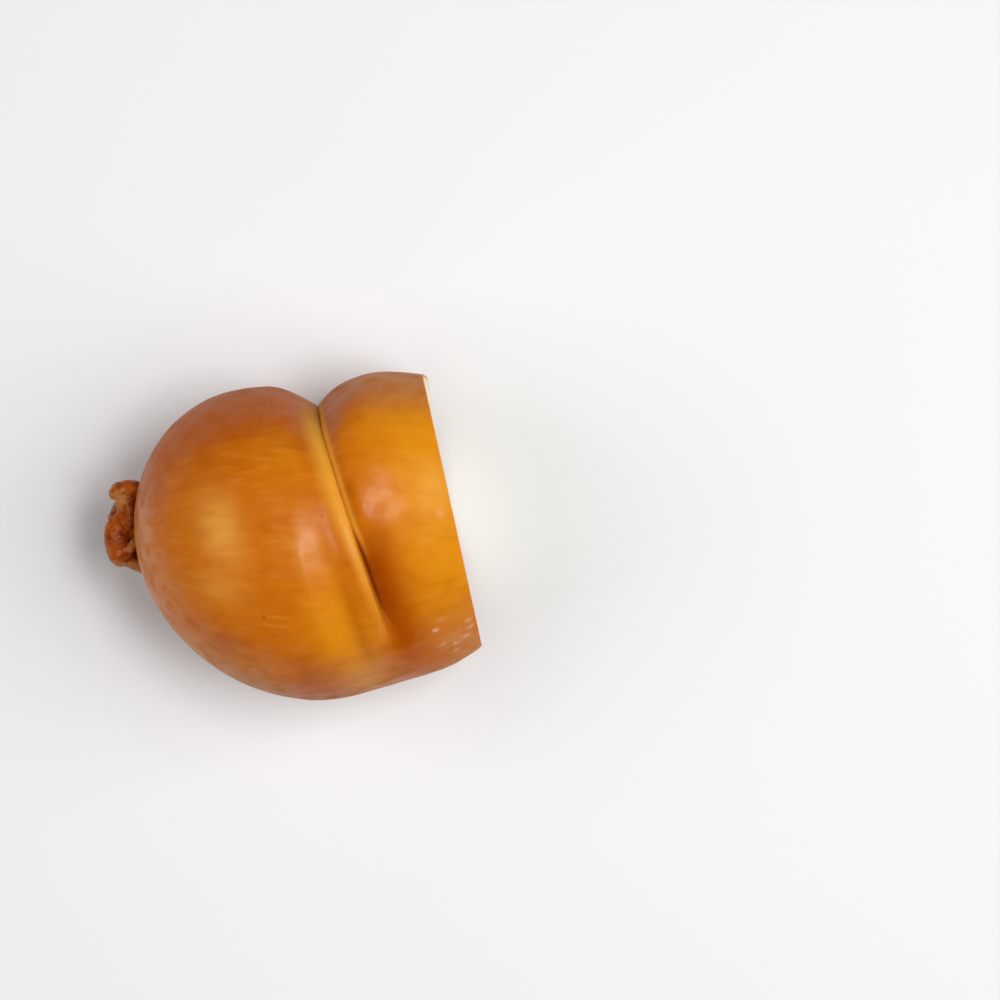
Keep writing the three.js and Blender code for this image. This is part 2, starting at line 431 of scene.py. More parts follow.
@dataclass(frozen=True)
class KnotFinish:
    """The caramel-brown knot, dried and wrinkled, with paler tan spots; the one on its far tip is a painted
    highlight.
    """

    brown: Colour = linear(168, 80, 14)
    dark: Colour = linear(122, 46, 5)
    tan: Colour = linear(182, 122, 62)
    patch_size: float = 5.0
    fine_size: float = 1.2
    minor_share: float = 0.4
    pale_weight: float = 0.3
    brown_range: Pair = (0.36, 0.58)
    tan_range: Pair = (0.5, 0.95)
    roughness: float = 0.42
    roughness_spread: float = 0.2
    specular: float = 0.25
    bump: Pair = (0.5, 0.25)
    glow: Glow = Glow(0.1, 1.5, (1.0, 0.35, 0.08))

    def material(self) -> bpy.types.Material:
        """Makes the knot's material.

        Returns:
            The material.
        """
        sheet = NodeSheet("smoked_knot")
        place = sheet.place()
        patch = sheet.grain(place, self.patch_size, detail=3.0)
        fine = sheet.grain(place, self.fine_size, detail=4.0, roughness=0.6)
        tone = patch.blend(fine, self.minor_share)
        colour = sheet.mix(self.dark, self.brown, tone.rise(*self.brown_range))
        # Paler tan from the random tone and the pale spots; the spot on the far tip is a painted highlight.
        pale_glint = fine.blend(patch, self.minor_share) + sheet.attribute("gold") * self.pale_weight
        colour = sheet.mix(colour, self.tan, pale_glint.rise(*self.tan_range))
        return sheet.finish({
            "Base Color": colour,
            "Roughness": self.roughness + (fine - EVEN) * self.roughness_spread,
            "Normal": sheet.bump(fine, *self.bump),
            "Specular IOR Level": self.specular,
            **self.glow.inputs(),
        })


@dataclass(frozen=True)
class PasteFinish:
    """The pale cut paste, with the rind as a thin browned rim."""

    cream: Colour = linear(243, 232, 203)
    butter: Colour = linear(236, 218, 176)
    rim: Colour = linear(208, 130, 40)
    rim_range: Pair = (0.3, 1.1)
    fade_range: Pair = (0.5, 6.0)
    butter_range: Pair = (0.45, 0.95)
    depth_spread: float = 0.6
    cloud_size: float = 12.0
    fibre_size: Triple = (3.0, 0.8, 2.2)
    fibre_share: float = 0.4
    roughness: float = 0.5
    roughness_spread: float = 0.15
    specular: float = 0.35
    bump: Pair = (0.2, 0.2)
    glow: Glow = Glow(0.3, 3.0, (1.0, 0.75, 0.45))

    def material(self) -> bpy.types.Material:
        """Makes the paste's material.

        Returns:
            The material.
        """
        sheet = NodeSheet("cut_paste")
        place = sheet.place()
        cloud = sheet.grain(place, self.cloud_size, detail=3.0)
        fibre = sheet.grain(place, self.fibre_size, detail=4.0, roughness=0.6)
        depth = sheet.attribute("under_rind") + (cloud - EVEN) * self.depth_spread
        tone = cloud.blend(fibre, self.fibre_share)
        colour = sheet.mix(self.cream, self.butter, tone.rise(*self.butter_range))
        colour = sheet.mix(self.butter, colour, depth.rise(*self.fade_range))
        colour = sheet.mix(self.rim, colour, depth.rise(*self.rim_range))
        return sheet.finish({
            "Base Color": colour,
            "Roughness": self.roughness + (cloud - EVEN) * self.roughness_spread,
            "Normal": sheet.bump(fibre, *self.bump),
            "Specular IOR Level": self.specular,
            **self.glow.inputs(),
        })


@dataclass(frozen=True)
class FloorFinish:
    """The plain pale floor."""

    white: Colour = (0.81, 0.812, 0.816)
    dimmed: float = 0.985
    cloud_size: float = 400.0
    roughness: float = 0.8
    specular: float = 0.2

    def material(self) -> bpy.types.Material:
        """Makes the floor's material.

        Returns:
            The material.
        """
        sheet = NodeSheet("pale_floor")
        cloud = sheet.grain(sheet.place(), self.cloud_size)
        return sheet.finish({
            "Base Color": sheet.mix(self.white, tuple(part * self.dimmed for part in self.white), cloud),
            "Roughness": self.roughness,
            "Specular IOR Level": self.specular,
        })


@dataclass(frozen=True)
class Ring:
    """One round, upright section of the body: its place, its centre and its lean to the knot."""

    along: float
    side: float
    turn: float


@dataclass(frozen=True)
class Hump:
    """A soft ridge, or a trough where height is negative, that runs beside the tie's cleft."""

    height: float
    before: float
    reach: float

    def at(self, beyond: float) -> float:
        """The hump's height at a distance beyond the cleft."""
        away = min(abs(beyond + self.before) / self.reach, 1.0)
        return self.height * (1 - away * away) ** 2


@dataclass(frozen=True)
class Course:
    """A value that changes around the body or along it, as stops of place and value."""

    stops: tuple[Pair, ...]

    def at(self, place: float) -> float:
        """The value at a place.

        Args:
            place: The place, in the degrees or millimetres of the stops.

        Returns:
            The value, which changes smoothly from stop to stop.
        """
        value = self.stops[0][1]
        for (start, _), (end, after) in zip(self.stops, self.stops[1:]):
            value = between(value, after, smoothstep(place, start, end))
        return value


@dataclass(frozen=True)
class Patch:
    """A patch of the skin: its place on the body, how far it reaches and how strongly it shows."""

    along: float
    degrees: float
    length: float
    spread: float
    share: float

    def at(self, along: float, degrees: float) -> float:
        """How strongly the patch shows at a place, from 0 to its share."""
        away = ((along - self.along) / self.length) ** 2 + ((degrees - self.degrees) / self.spread) ** 2
        return self.share * math.exp(-away)


@dataclass
class TieGroove:
    """The groove that the tie has pinched: a round valley, a narrow cleft, and a lip beside it."""

    along: float = 59.9
    bulb_depth: Course = Course(((20, 7.7), (70, 3.0), (107, 2.2), (145, 0)))
    head_depth: Course = Course(((20, 7.7), (62, 2.3), (86, 2.3), (108, 6.2), (118, 5.8), (146, 0)))
    bulb_reach: float = 15.5
    head_reach: Course = Course(((20, 17.4), (62, 4.2), (86, 4.2), (108, 14.0), (114, 15.0)))
    bulb_power: float = 2.0
    head_power: Course = Course(((20, 2.17), (62, 1.5), (86, 1.5), (105, 2.1)))
    cleft_depth: float = 1.0
    cleft_reach: float = 0.4
    step_reach: Course = Course(((122, 0.4), (140, 4.0)))
    cleft_share: Course = Course(((40, 0.3), (62, 0.12), (87, 0.15), (101, 1), (112, 1), (131, 0)))
    lip: Hump = Hump(1.2, 0.9, 4.4)
    lip_share: Course = Course(((25, 0), (50, 0.4), (82, 0.85), (103, 1), (118, 1), (142, 0)))
    trough: Hump = Hump(-1.1, 9.4, 5.2)
    trough_share: Course = Course(((75, 0), (105, 1), (122, 1), (155, 0)))
    roll: Hump = Hump(0.3, -4.0, 7.0)
    roll_share: Course = Course(((45, 0), (62, 1), (85, 1), (100, 0)))

    def sunk(self, along: float, degrees: float) -> float:
        """How far the skin lies in, or out where negative.

        Args:
            along: The place along the body.
            degrees: The place around it.

        Returns:
            The depth in millimetres.
        """
        beyond = along - self.along
        on_bulb = max(0.0, 1 + min(beyond, 0.0) / self.bulb_reach) ** self.bulb_power
        on_head = max(0.0, 1 - max(beyond, 0.0) / self.head_reach.at(degrees))
        on_head **= self.head_power.at(degrees)
        step_reach = self.step_reach.at(degrees)
        over = smoothstep(beyond, -step_reach, step_reach)
        valley = between(
            self.bulb_depth.at(degrees) * on_bulb, self.head_depth.at(degrees) * on_head, over
        )
        cleft = self.cleft_depth * max(0.0, 1 - abs(beyond) / self.cleft_reach)
        ridge = self.lip.at(beyond) * self.lip_share.at(degrees) * (1 - over)
        ridge += self.trough.at(beyond) * self.trough_share.at(degrees)
        ridge += self.roll.at(beyond) * self.roll_share.at(degrees) * over
        return valley + cleft * self.cleft_share.at(degrees) - ridge


@dataclass
class Body:
    """The bulb and the head beyond the tie, ending in the flat cut."""

    whole_length: float = 108.8
    bulb_radius: float = 43.1
    head_fall_power: float = 3.33
    knot_ring: Ring = Ring(0.0, -6.0, 8.5)
    bulb_ring: Ring = Ring(44.1, -4.3, 13.3)
    tie_ring: Ring = Ring(59.9, -0.7, 18.4)
    head_ring: Ring = Ring(76.3, 2.5, 14.7)
    cut_ring: Ring = Ring(85.2, 4.1, 12.4)
    height_share: float = 0.96
    bulb_settle: float = 1.0
    head_settle: float = -0.45
    head_lean: float = 7.5
    lean_reach: float = 12.0
    cut_sag: float = 3.0
    cut_lean: float = 0.6
    cut_flap: float = 1.3
    flap_degrees: float = -15.0
    flap_spread: float = 15.0
    wave_height: float = 0.35
    wave_lengths: Pair = (107.0, 132.0)
    dents: float = 0.25
    dent_size: float = 13.0
    peel: float = 0.11
    peel_size: float = 4.0
    fine_peel_size: float = 1.9
    fine_peel_share: float = 0.3
    fleck_height: float = 0.3
    groove: TieGroove = field(default_factory=TieGroove)
    flecks: tuple[Patch, ...] = (
        Patch(73.0, 143.0, 1.0, 0.9, 0.9),
        Patch(75.1, 139.2, 1.4, 1.0, 0.25),
        Patch(83.0, 145.1, 1.0, 0.9, 0.6),
        Patch(83.2, 149.2, 0.9, 0.9, 0.7),
        Patch(81.4, 153.1, 1.3, 0.9, 0.6),
        Patch(77.7, 154.6, 0.7, 0.9, 0.9),
        Patch(73.9, 151.6, 1.8, 0.9, 0.5),
        Patch(77.1, 159.5, 1.3, 1.2, 0.4),
        Patch(82.3, 100.9, 0.7, 1.0, 0.7),
    )
    around: int = 360
    step: float = 0.55
    fine_step: float = 0.16
    fine_reach: float = 3.2
    rim_depths: tuple[float, ...] = (0.3, 0.6, 0.9, 1.3, 1.8, 2.4, 3.1)
    paste_step: float = 1.5
    rim_round: float = 0.25
    rim_segments: int = 2
    merge_distance: float = 1e-4

    @property
    def rings(self) -> list[Ring]:
        """All rings, from the knot to the cut."""
        return [self.knot_ring, self.bulb_ring, self.tie_ring, self.head_ring, self.cut_ring]

    def ring_size(self, key: str, along: float) -> float:
        """One size of the rings, on a smooth curve through all of them.

        Args:
            key: Which size, side or turn.
            along: The place along the body.

        Returns:
            The size there.
        """
        rings = self.rings
        last = len(rings) - 1
        i = max(n for n in range(last) if n == 0 or rings[n].along <= along)

        def slope(n: int) -> float:
            """The curve's slope at one ring."""
            before, after = rings[max(n - 1, 0)], rings[min(n + 1, last)]
            return (getattr(after, key) - getattr(before, key)) / (after.along - before.along)

        first, second = rings[i], rings[i + 1]
        span = second.along - first.along
        t = (along - first.along) / span
        level = between(getattr(first, key), getattr(second, key), t * t * (3 - 2 * t))
        return level + span * t * (1 - t) * (slope(i) * (1 - t) - slope(i + 1) * t)

    def radius(self, along: float) -> float:
        """The body's radius before the groove.

        Args:
            along: The place along the body.

        Returns:
            The radius in millimetres.
        """
        beyond = along - self.bulb_ring.along
        if beyond < 0:
            fall = (beyond / self.bulb_ring.along) ** 2
        else:
            fall = (beyond / (self.whole_length - self.bulb_ring.along)) ** self.head_fall_power
        return self.bulb_radius * math.sqrt(max(0.0, 1 - fall))

    def centre_height(self, along: float) -> float:
        """The height of the ring centres: the bulb and the head both settle on the table.

        Args:
            along: The place along the body.

        Returns:
            The height in millimetres.
        """
        bulb = self.radius(self.bulb_ring.along) * self.height_share - self.bulb_settle
        head = self.radius(self.head_ring.along) * self.height_share - self.head_settle
        level = between(bulb, head, smoothstep(along, self.bulb_ring.along, self.head_ring.along))
        past = max(0.0, along - self.groove.along) / (self.cut_ring.along - self.groove.along)
        return level - self.cut_sag * past * past

    def point(self, along: float, angle: float, share: float = 1.0) -> Vector:
        """A place on the body, or inside it where share is under one.

        Args:
            along: The place along the body.
            angle: The place around it in radians, from the far side over the top.
            share: The share of the way out from the middle of the ring.

        Returns:
            The place in millimetres, counted from the knot.
        """
        turned = math.degrees(math.atan2(math.sin(angle), math.cos(angle)))
        first, second = (2 * math.pi * along / length for length in self.wave_lengths)
        wave = math.sin(2 * angle + first) + math.sin(3 * angle - second + 1)
        even = 1 + self.wave_height * wave / self.bulb_radius
        skin = self.radius(along) * even - self.groove.sunk(along, abs(turned))
        radius = share * (skin + self.relief(along, turned))
        lean = self.head_lean * share * max(0.0, math.sin(angle)) ** 2
        lean *= smoothstep(along, self.groove.along, self.groove.along + self.lean_reach)
        across = radius * math.cos(angle) + lean
        turn = math.radians(self.ring_size("turn", along))
        flap = math.exp(-(((turned - self.flap_degrees) / self.flap_spread) ** 2))
        out = self.cut_lean * share * math.sin(angle) + self.cut_flap * share**2 * flap
        out *= smoothstep(along, self.head_ring.along, self.cut_ring.along)
        return Vector((
            along + out - across * math.sin(turn),
            self.ring_size("side", along) + across * math.cos(turn),
            max(0.0, self.centre_height(along) + radius * math.sin(angle) * self.height_share),
        ))

    def relief(self, along: float, turned: float) -> float:
        """The unevenness of the skin: broad dents, a fine peel and a few raised flecks.

        Args:
            along: The place along the body.
            turned: The place around it in degrees, negative on the underside.

        Returns:
            How far the skin stands out, in millimetres.
        """
        radius = self.radius(along)
        angle = math.radians(turned)
        place = Vector((along, radius * math.cos(angle), radius * math.sin(angle)))
        fine = noise.noise(place / self.peel_size)
        fine += self.fine_peel_share * noise.noise(place / self.fine_peel_size)
        raised = self.fleck_height * self.fleck_at(along, turned)
        return self.dents * noise.noise(place / self.dent_size) + self.peel * fine + raised

    def fleck_at(self, along: float, turned: float) -> float:
        """How much of a dry fleck is at a place, from 0 to 1."""
        return max(fleck.at(along, turned) for fleck in self.flecks)

    def skin_places(self) -> list[float]:
        """The places that get a ring of vertices, close together at the cleft.

        Returns:
            The places along the body, from the knot to the cut.
        """
        end = self.bulb_ring.along
        count = round(end / self.step)
        places = [end * (1 - math.cos(math.pi / 2 * i / count)) for i in range(count)]
        along = end
        while along < self.cut_ring.along - self.step / 2:
            places.append(along)
            near = abs(along + self.step / 2 - self.groove.along) < self.fine_reach
            along += self.fine_step if near else self.step
        return places + [self.cut_ring.along]

    def cut_shares(self) -> list[float]:
        """The rings of the cut face.

        Returns:
            Their shares of the way out, from the rim to the middle.
        """
        radius = self.radius(self.cut_ring.along)
        depths = list(self.rim_depths)
        while depths[-1] + self.paste_step < radius:
            depths.append(depths[-1] + self.paste_step)
        return [1 - depth / radius for depth in depths] + [0.0]

    def build(self) -> bmesh.types.BMesh:
        """Spins a straight profile into rings and moves each ring to its place.

        Returns:
            The closed body, in millimetres counted from the knot, whose vertices carry where they are
            along it, around it and under its rind.
        """
        stations = [(along, 1.0) for along in self.skin_places()]
        rim = len(stations) - 1
        stations += [(self.cut_ring.along, share) for share in self.cut_shares()]
        count = len(stations) - 1
        mesh = bmesh.new()
        ends = [mesh.verts.new((0.0, 1.0, 0.0)), mesh.verts.new((1.0, 1.0, 0.0))]
        line = mesh.edges.new(ends)
        bmesh.ops.subdivide_edges(mesh, edges=[line], cuts=count - 1)
        bmesh.ops.spin(
            mesh, geom=mesh.verts[:] + mesh.edges[:], cent=(0, 0, 0), axis=(1, 0, 0),
            angle=2 * math.pi, steps=self.around, use_merge=True, use_duplicate=False,
        )
        number = mesh.verts.layers.int.new("ring")
        place_along = mesh.verts.layers.float.new("along")
        place_around = mesh.verts.layers.float.new("around")
        under_rind = mesh.verts.layers.float.new("under_rind")
        for vert in mesh.verts:
            vert[number] = round(vert.co.x * count)
            along, share = stations[vert[number]]
            angle = math.atan2(vert.co.z, vert.co.y)
            vert[place_along] = along
            vert[place_around] = math.degrees(angle)
            vert[under_rind] = (1 - share) * self.radius(along)
            vert.co = self.point(along, angle, share)
        bmesh.ops.remove_doubles(mesh, verts=mesh.verts[:], dist=self.merge_distance)
        for face in mesh.faces:
            face.smooth = True
            past_rim = min(vert[number] for vert in face.verts) >= rim
            face.material_index = (Surface.PASTE if past_rim else Surface.RIND).value
        edge = [e for e in mesh.edges if all(vert[number] == rim for vert in e.verts)]
        bmesh.ops.bevel(
            mesh, geom=edge, offset=self.rim_round, segments=self.rim_segments, profile=0.5,
            affect="EDGES", material=-1,
        )
        bmesh.ops.recalc_face_normals(mesh, faces=mesh.faces[:])
        return mesh


@dataclass(frozen=True)
class Fold:
    """One strand of the knot: three places it runs through, its radius, and the share of it left at its end.

    Aside is a direction that no strand follows.
    """

    start: Triple
    middle: Triple
    end: Triple
    thick: float
    taper: float = 1.0
    sides: int = 28
    rings: int = 24
    nudge: float = 0.01
    bluntness: int = 4
    aside: Triple = (0.3, 0.2, 1.0)

    def place(self, t: float) -> Vector:
        """A place on the strand's middle line.

        Args:
            t: The share of the way from its start to its end.

        Returns:
            The place, in millimetres.
        """
        first, last = Vector(self.start), Vector(self.end)
        pull = Vector(self.middle) * 2 - (first + last) / 2
        return first * (1 - t) ** 2 + pull * (2 * t * (1 - t)) + last * t * t

    def add_to(self, mesh: bmesh.types.BMesh) -> None:
        """Adds the strand to a mesh: a ball that is drawn out along the middle line.

        Args:
            mesh: The mesh that takes it.
        """
        ball = bmesh.ops.create_uvsphere(mesh, u_segments=self.sides, v_segments=self.rings, radius=1.0)
        for vert in ball["verts"]:
            t = (vert.co.z + 1) / 2
            heading = (self.place(t + self.nudge) - self.place(t - self.nudge)).normalized()
            across = heading.cross(Vector(self.aside)).normalized()
            up = across.cross(heading)
            girth = self.thick * between(1.0, self.taper, t)
            girth *= math.sqrt(max(0.0, 1 - abs(vert.co.z) ** self.bluntness))
            out = Vector((vert.co.x, vert.co.y))
            if out.length > TINY:
                out.normalize()
            vert.co = self.place(t) + (across * out.x + up * out.y) * girth


@dataclass
class Knot:
    """The folded knot at the bulb's end.

    A pale spot gives its x and y, how far it is whole and how far it reaches; the one on the far tip is a
    painted highlight.
    """

    drop: float = 3.0
    grain: float = 0.3
    softness: float = 0.5
    soft_rounds: int = 6
    wrinkle: float = 0.45
    wrinkle_level: float = 0.6
    ridge_scale: float = 0.32
    ridge_weight: float = 0.55
    crease_scale: float = 0.75
    crease_weight: float = 0.3
    crease_shift: Triple = (7.0, 3.0, 1.0)
    pale_spots: tuple[tuple[float, ...], ...] = ((-5.0, 7.0, 1.0, 4.5), (-1.2, -5.8, 0.8, 2.4))
    pale_edge: Pair = (8.5, 11.0)
    folds: tuple[Fold, ...] = (
        Fold((5, 8.4, 2.6), (-3.6, 10.0, 2.6), (-6.2, 7.0, 1.8), 2.5, 0.75),
        Fold((-4.6, 8.6, 1.0), (-2.5, 3.6, 2.0), (-3.4, -1.6, 2.4), 3.0),
        Fold((-5.0, 2.6, 2.2), (-5.6, -4.2, 3.2), (-3.8, -10.6, 0.2), 3.1),
        Fold((0.8, -3.2, 4.4), (-1.2, -5.8, 4.0), (-2.4, -8.8, 2.4), 1.4),
        Fold((6, -6, -2.6), (0.4, -6.6, -2.2), (-3.4, -7.4, -2.2), 4.0),
        Fold((-4.8, -8.2, -1), (-1.2, -10.0, 0.4), (5, -12.0, 0), 2.1),
        Fold((2, 8, -5), (-4.4, 1.6, -5.2), (-1.6, -6.6, -8), 4.3),
        Fold((8, -1, -3), (0.5, -0.6, -3), (-3.2, 0.8, -3), 6.6),
    )

    def build(self, height: float) -> bmesh.types.BMesh:
        """Fuses the folds into one lump and wrinkles it.

        Args:
            height: The height of the bulb's end, in millimetres.

        Returns:
            The closed knot, in millimetres counted from the knot.
        """
        strands = bmesh.new()
        for fold in self.folds:
            fold.add_to(strands)
        bmesh.ops.recalc_face_normals(strands, faces=strands.faces[:])
        bmesh.ops.translate(strands, verts=strands.verts[:], vec=(0, 0, height - self.drop))
        source = object_of("knot_strands", strands)
        remesh = source.modifiers.new("fuse", "REMESH")
        remesh.mode = "VOXEL"
        remesh.voxel_size = self.grain
        soften = source.modifiers.new("soften", "SMOOTH")
        soften.factor = self.softness
        soften.iterations = self.soft_rounds
        fused = mesh_after_modifiers(source)
        bpy.data.objects.remove(source)
        lump = bmesh.new()
        lump.from_mesh(fused)
        bpy.data.meshes.remove(fused)
        lump.normal_update()
        for vert in lump.verts:
            vert.co += vert.normal * self._wrinkle_at(vert.co)
        for face in lump.faces:
            face.smooth = True
            face.material_index = Surface.KNOT.value
        return lump

    def paleness(self, place: Vector) -> float:
        """How pale the knot is: most at its far tip, where the paleness is a painted highlight, at its near
        edge and in a small fold.

        Args:
            place: The place on the knot, in millimetres.

        Returns:
            The share of the pale colour, from 0 to 1.
        """
        shares = [smoothstep(-place.y, *self.pale_edge)]
        for x, y, whole, reach in self.pale_spots:
            shares.append(1 - smoothstep(math.hypot(place.x - x, place.y - y), whole, reach))
        return max(shares)

    def _wrinkle_at(self, place: Vector) -> float:
        """How far a wrinkle lifts or sinks the skin.

        Args:
            place: The place on the knot, in millimetres.

        Returns:
            The way out, in millimetres.
        """
        ridge = 1 - abs(noise.noise(place * self.ridge_scale)) * 2
        crease = 1 - abs(noise.noise(place * self.crease_scale + Vector(self.crease_shift))) * 2
        lift = self.ridge_weight * (ridge - self.wrinkle_level)
        return self.wrinkle * (lift + self.crease_weight * (crease - self.wrinkle_level))


def object_of(name: str, mesh: bmesh.types.BMesh, scale: float = 1.0) -> bpy.types.Object:
    """A scene object from a bmesh, which is freed.

    Args:
        name: The object's name.
        mesh: Its shape.
        scale: What its sizes are multiplied by.

    Returns:
        The object, at the origin.
    """
    bmesh.ops.scale(mesh, verts=mesh.verts[:], vec=(scale,) * 3)
    data = bpy.data.meshes.new(name)
    mesh.to_mesh(data)
    mesh.free()
    made = bpy.data.objects.new(name, data)
    bpy.context.scene.collection.objects.link(made)
    return made


def mesh_after_modifiers(piece: bpy.types.Object) -> bpy.types.Mesh:
    """A copy of a piece's mesh with its modifiers applied."""
    graph = bpy.context.evaluated_depsgraph_get()
    return bpy.data.meshes.new_from_object(piece.evaluated_get(graph))


@dataclass
class SkinMarks:
    """Where the rind's colours lie on the body."""

    names: tuple[str, ...] = ("gold", "flank_shade", "honey_and_highlight", "rim_sheen", "lip", "valley", "slit_shade", "fleck")
    gold_patches: tuple[Patch, ...] = (
        Patch(50.0, 126.0, 7.0, 24.0, 0.7),
        Patch(49.0, 57.0, 6.0, 12.0, 0.35),
    )
    # Paler honey patches; the ones at 48 mm on the crown and at 82.3 mm on the head are painted highlight.
    honey_and_highlight_patches: tuple[Patch, ...] = (
        Patch(26.5, 83.0, 5.5, 15.0, 0.75),
        Patch(24.0, 105.0, 6.0, 9.0, 0.37),
        Patch(82.3, 92.0, 4.5, 10.0, 0.5),
        Patch(48.0, 92.0, 5.0, 11.0, 0.29),
        Patch(52.5, 153.0, 4.5, 15.0, 0.36),
    )
    # Painted reflection of the pinkish sheen, low on the near side by the cut.
    rim_sheen_patch: Patch = Patch(80.5, 153.0, 4.5, 7.0, 0.35)
    # The brown patch deepens the painted flank shade low on the near side of the bulb.
    brown_patch: Patch = Patch(43.0, 148.0, 6.5, 15.0, 0.75)
    # The crown's degrees, the painted flank shade's course over degrees from there, and how much gold that
    # shade hides.
    crown: float = 94.0
    flank_shade: Course = Course(((22, 0), (62, 1)))
    flank_hides: float = 0.6
    # Courses over millimetres along the body.
    end_honey_fade: Course = Course(((26, 1), (40, 0)))
    # Painted reflection of the pinkish sheen at the rim of the knot end.
    end_rim_sheen: Course = Course(((1.5, 0.55), (13, 0)))
    # Courses and sizes over millimetres beyond the cleft.
    near_flank: Course = Course(((0, 0.45), (8, 1)))
    head_gold: Course = Course(((0, 0), (22, 0.82)))
    valley_shade_fade: Course = Course(((3, 1), (13, 0)))
    valley_shade_start: float = 0.4
    valley_shade_whole: float = 0.2
    trough_shade_before: float = 5.8
    trough_shade_width: float = 1.7
    crest_width: float = 0.7
    lip_core: float = 0.8
    slit_core: float = 0.1
    # Courses over degrees around the body.
    end_honey: Course = Course(((128, 0), (152, 0.2)))
    valley_shade_share: Course = Course(((85, 0), (107, 1), (132, 1), (166, 0)))
    trough_share: Course = Course(((98, 0), (116, 0.5), (132, 0.5), (156, 0)))
    # Painted highlight: a thin pale line along the crest just beyond the cleft.
    crest_beyond: Course = Course(((86, 1.0), (102, 1.6)))
    crest_share: Course = Course(((88, 0.8), (106, 0.08), (120, 0.08), (140, 0)))
    lip_reach: Course = Course(((75, 6.5), (108, 3.4)))
    # The lip's paleness rises on the upper far side, painted light where the lip turns from the lamps.
    lip_share: Course = Course(((0, 0), (45, 1.1), (50, 1.1), (80, 0.85), (85, 0.85), (150, 0)))
    slit_beyond: Course = Course(((86, 0.15), (102, 0.5)))
    slit_reach: Course = Course(((86, 0.4), (102, 0.65)))

    def write(self, shape: bmesh.types.BMesh, body: Body, knot: Knot) -> None:
        """Writes what the finishes need to know about each place into the mesh.

        Args:
            shape: The joined cheese, in millimetres counted from the knot.
            body: The body that it was made from.
            knot: The knot that it was made from.
        """
        layers = {name: shape.verts.layers.float.new(name) for name in self.names}
        place_along = shape.verts.layers.float["along"]
        place_around = shape.verts.layers.float["around"]
        for vert in shape.verts:
            if any(face.material_index == Surface.KNOT.value for face in vert.link_faces):
                # The knot's pale spots go into the gold layer; the one on the far tip is a painted
                # highlight.
                vert[layers["gold"]] = knot.paleness(vert.co)
                continue
            shares = self._shares_at(body, vert[place_along], vert[place_around])
            for name, share in shares.items():
                vert[layers[name]] = share
        for name in ("along", "around"):
            shape.verts.layers.float.remove(shape.verts.layers.float[name])

    def _shares_at(self, body: Body, along: float, turned: float) -> dict[str, float]:
        """How strongly each mark shows at a place.

        Args:
            body: The body that the place is on.
            along: The place along the body.
            turned: The place around it in degrees, negative on the underside.

        Returns:
            The share of each mark, by its name.
        """
        degrees = abs(turned)
        beyond = along - body.groove.along
        # Painted shade on the flanks, darker away from the crown; on the near side it is weaker up to just
        # past the cleft.
        flank_shade = self.flank_shade.at(abs(degrees - self.crown))
        if degrees > self.crown:
            flank_shade *= self.near_flank.at(beyond)
        flank_shade = max(flank_shade, self.brown_patch.at(along, degrees))
        gold = [patch.at(along, degrees) for patch in self.gold_patches]
        honey_and_highlight = [patch.at(along, degrees) for patch in self.honey_and_highlight_patches]
        # Painted shade in the valley beyond the cleft and in the trough before the lip, carried by the
        # valley mark.
        step = body.groove.step_reach.at(degrees)
        valley = self.valley_shade_share.at(degrees) * self.valley_shade_fade.at(beyond)
        valley *= smoothstep(beyond, self.valley_shade_start - step, self.valley_shade_whole + step)
        away = (beyond + self.trough_shade_before) / self.trough_shade_width
        trough = self.trough_share.at(degrees) * math.exp(-(away**2))
        # The pale lip mark: paler rind before the cleft, partly painted light; beyond the cleft it is a
        # painted highlight along the crest.
        if beyond > 0:
            away = (beyond - self.crest_beyond.at(degrees)) / self.crest_width
            lip = self.crest_share.at(degrees) * math.exp(-(away**2))
        else:
            lip = 1 - smoothstep(-beyond, self.lip_core, self.lip_reach.at(degrees))
            lip *= self.lip_share.at(degrees)
        # Painted shade down the cleft.
        from_slit = abs(beyond - self.slit_beyond.at(degrees))
        slit_shade = 1 - smoothstep(from_slit, self.slit_core, self.slit_reach.at(degrees))
        return {
            "flank_shade": flank_shade,
            "gold": max(self.head_gold.at(beyond) * (1 - self.flank_hides * flank_shade), *gold),
            "honey_and_highlight": max(self.end_honey.at(degrees) * self.end_honey_fade.at(along), *honey_and_highlight),
            "rim_sheen": max(self.end_rim_sheen.at(along), self.rim_sheen_patch.at(along, turned)),
            "lip": lip,
            "valley": max(valley, trough),
            "slit_shade": body.groove.cleft_share.at(degrees) * slit_shade,
            "fleck": body.fleck_at(along, turned),
        }


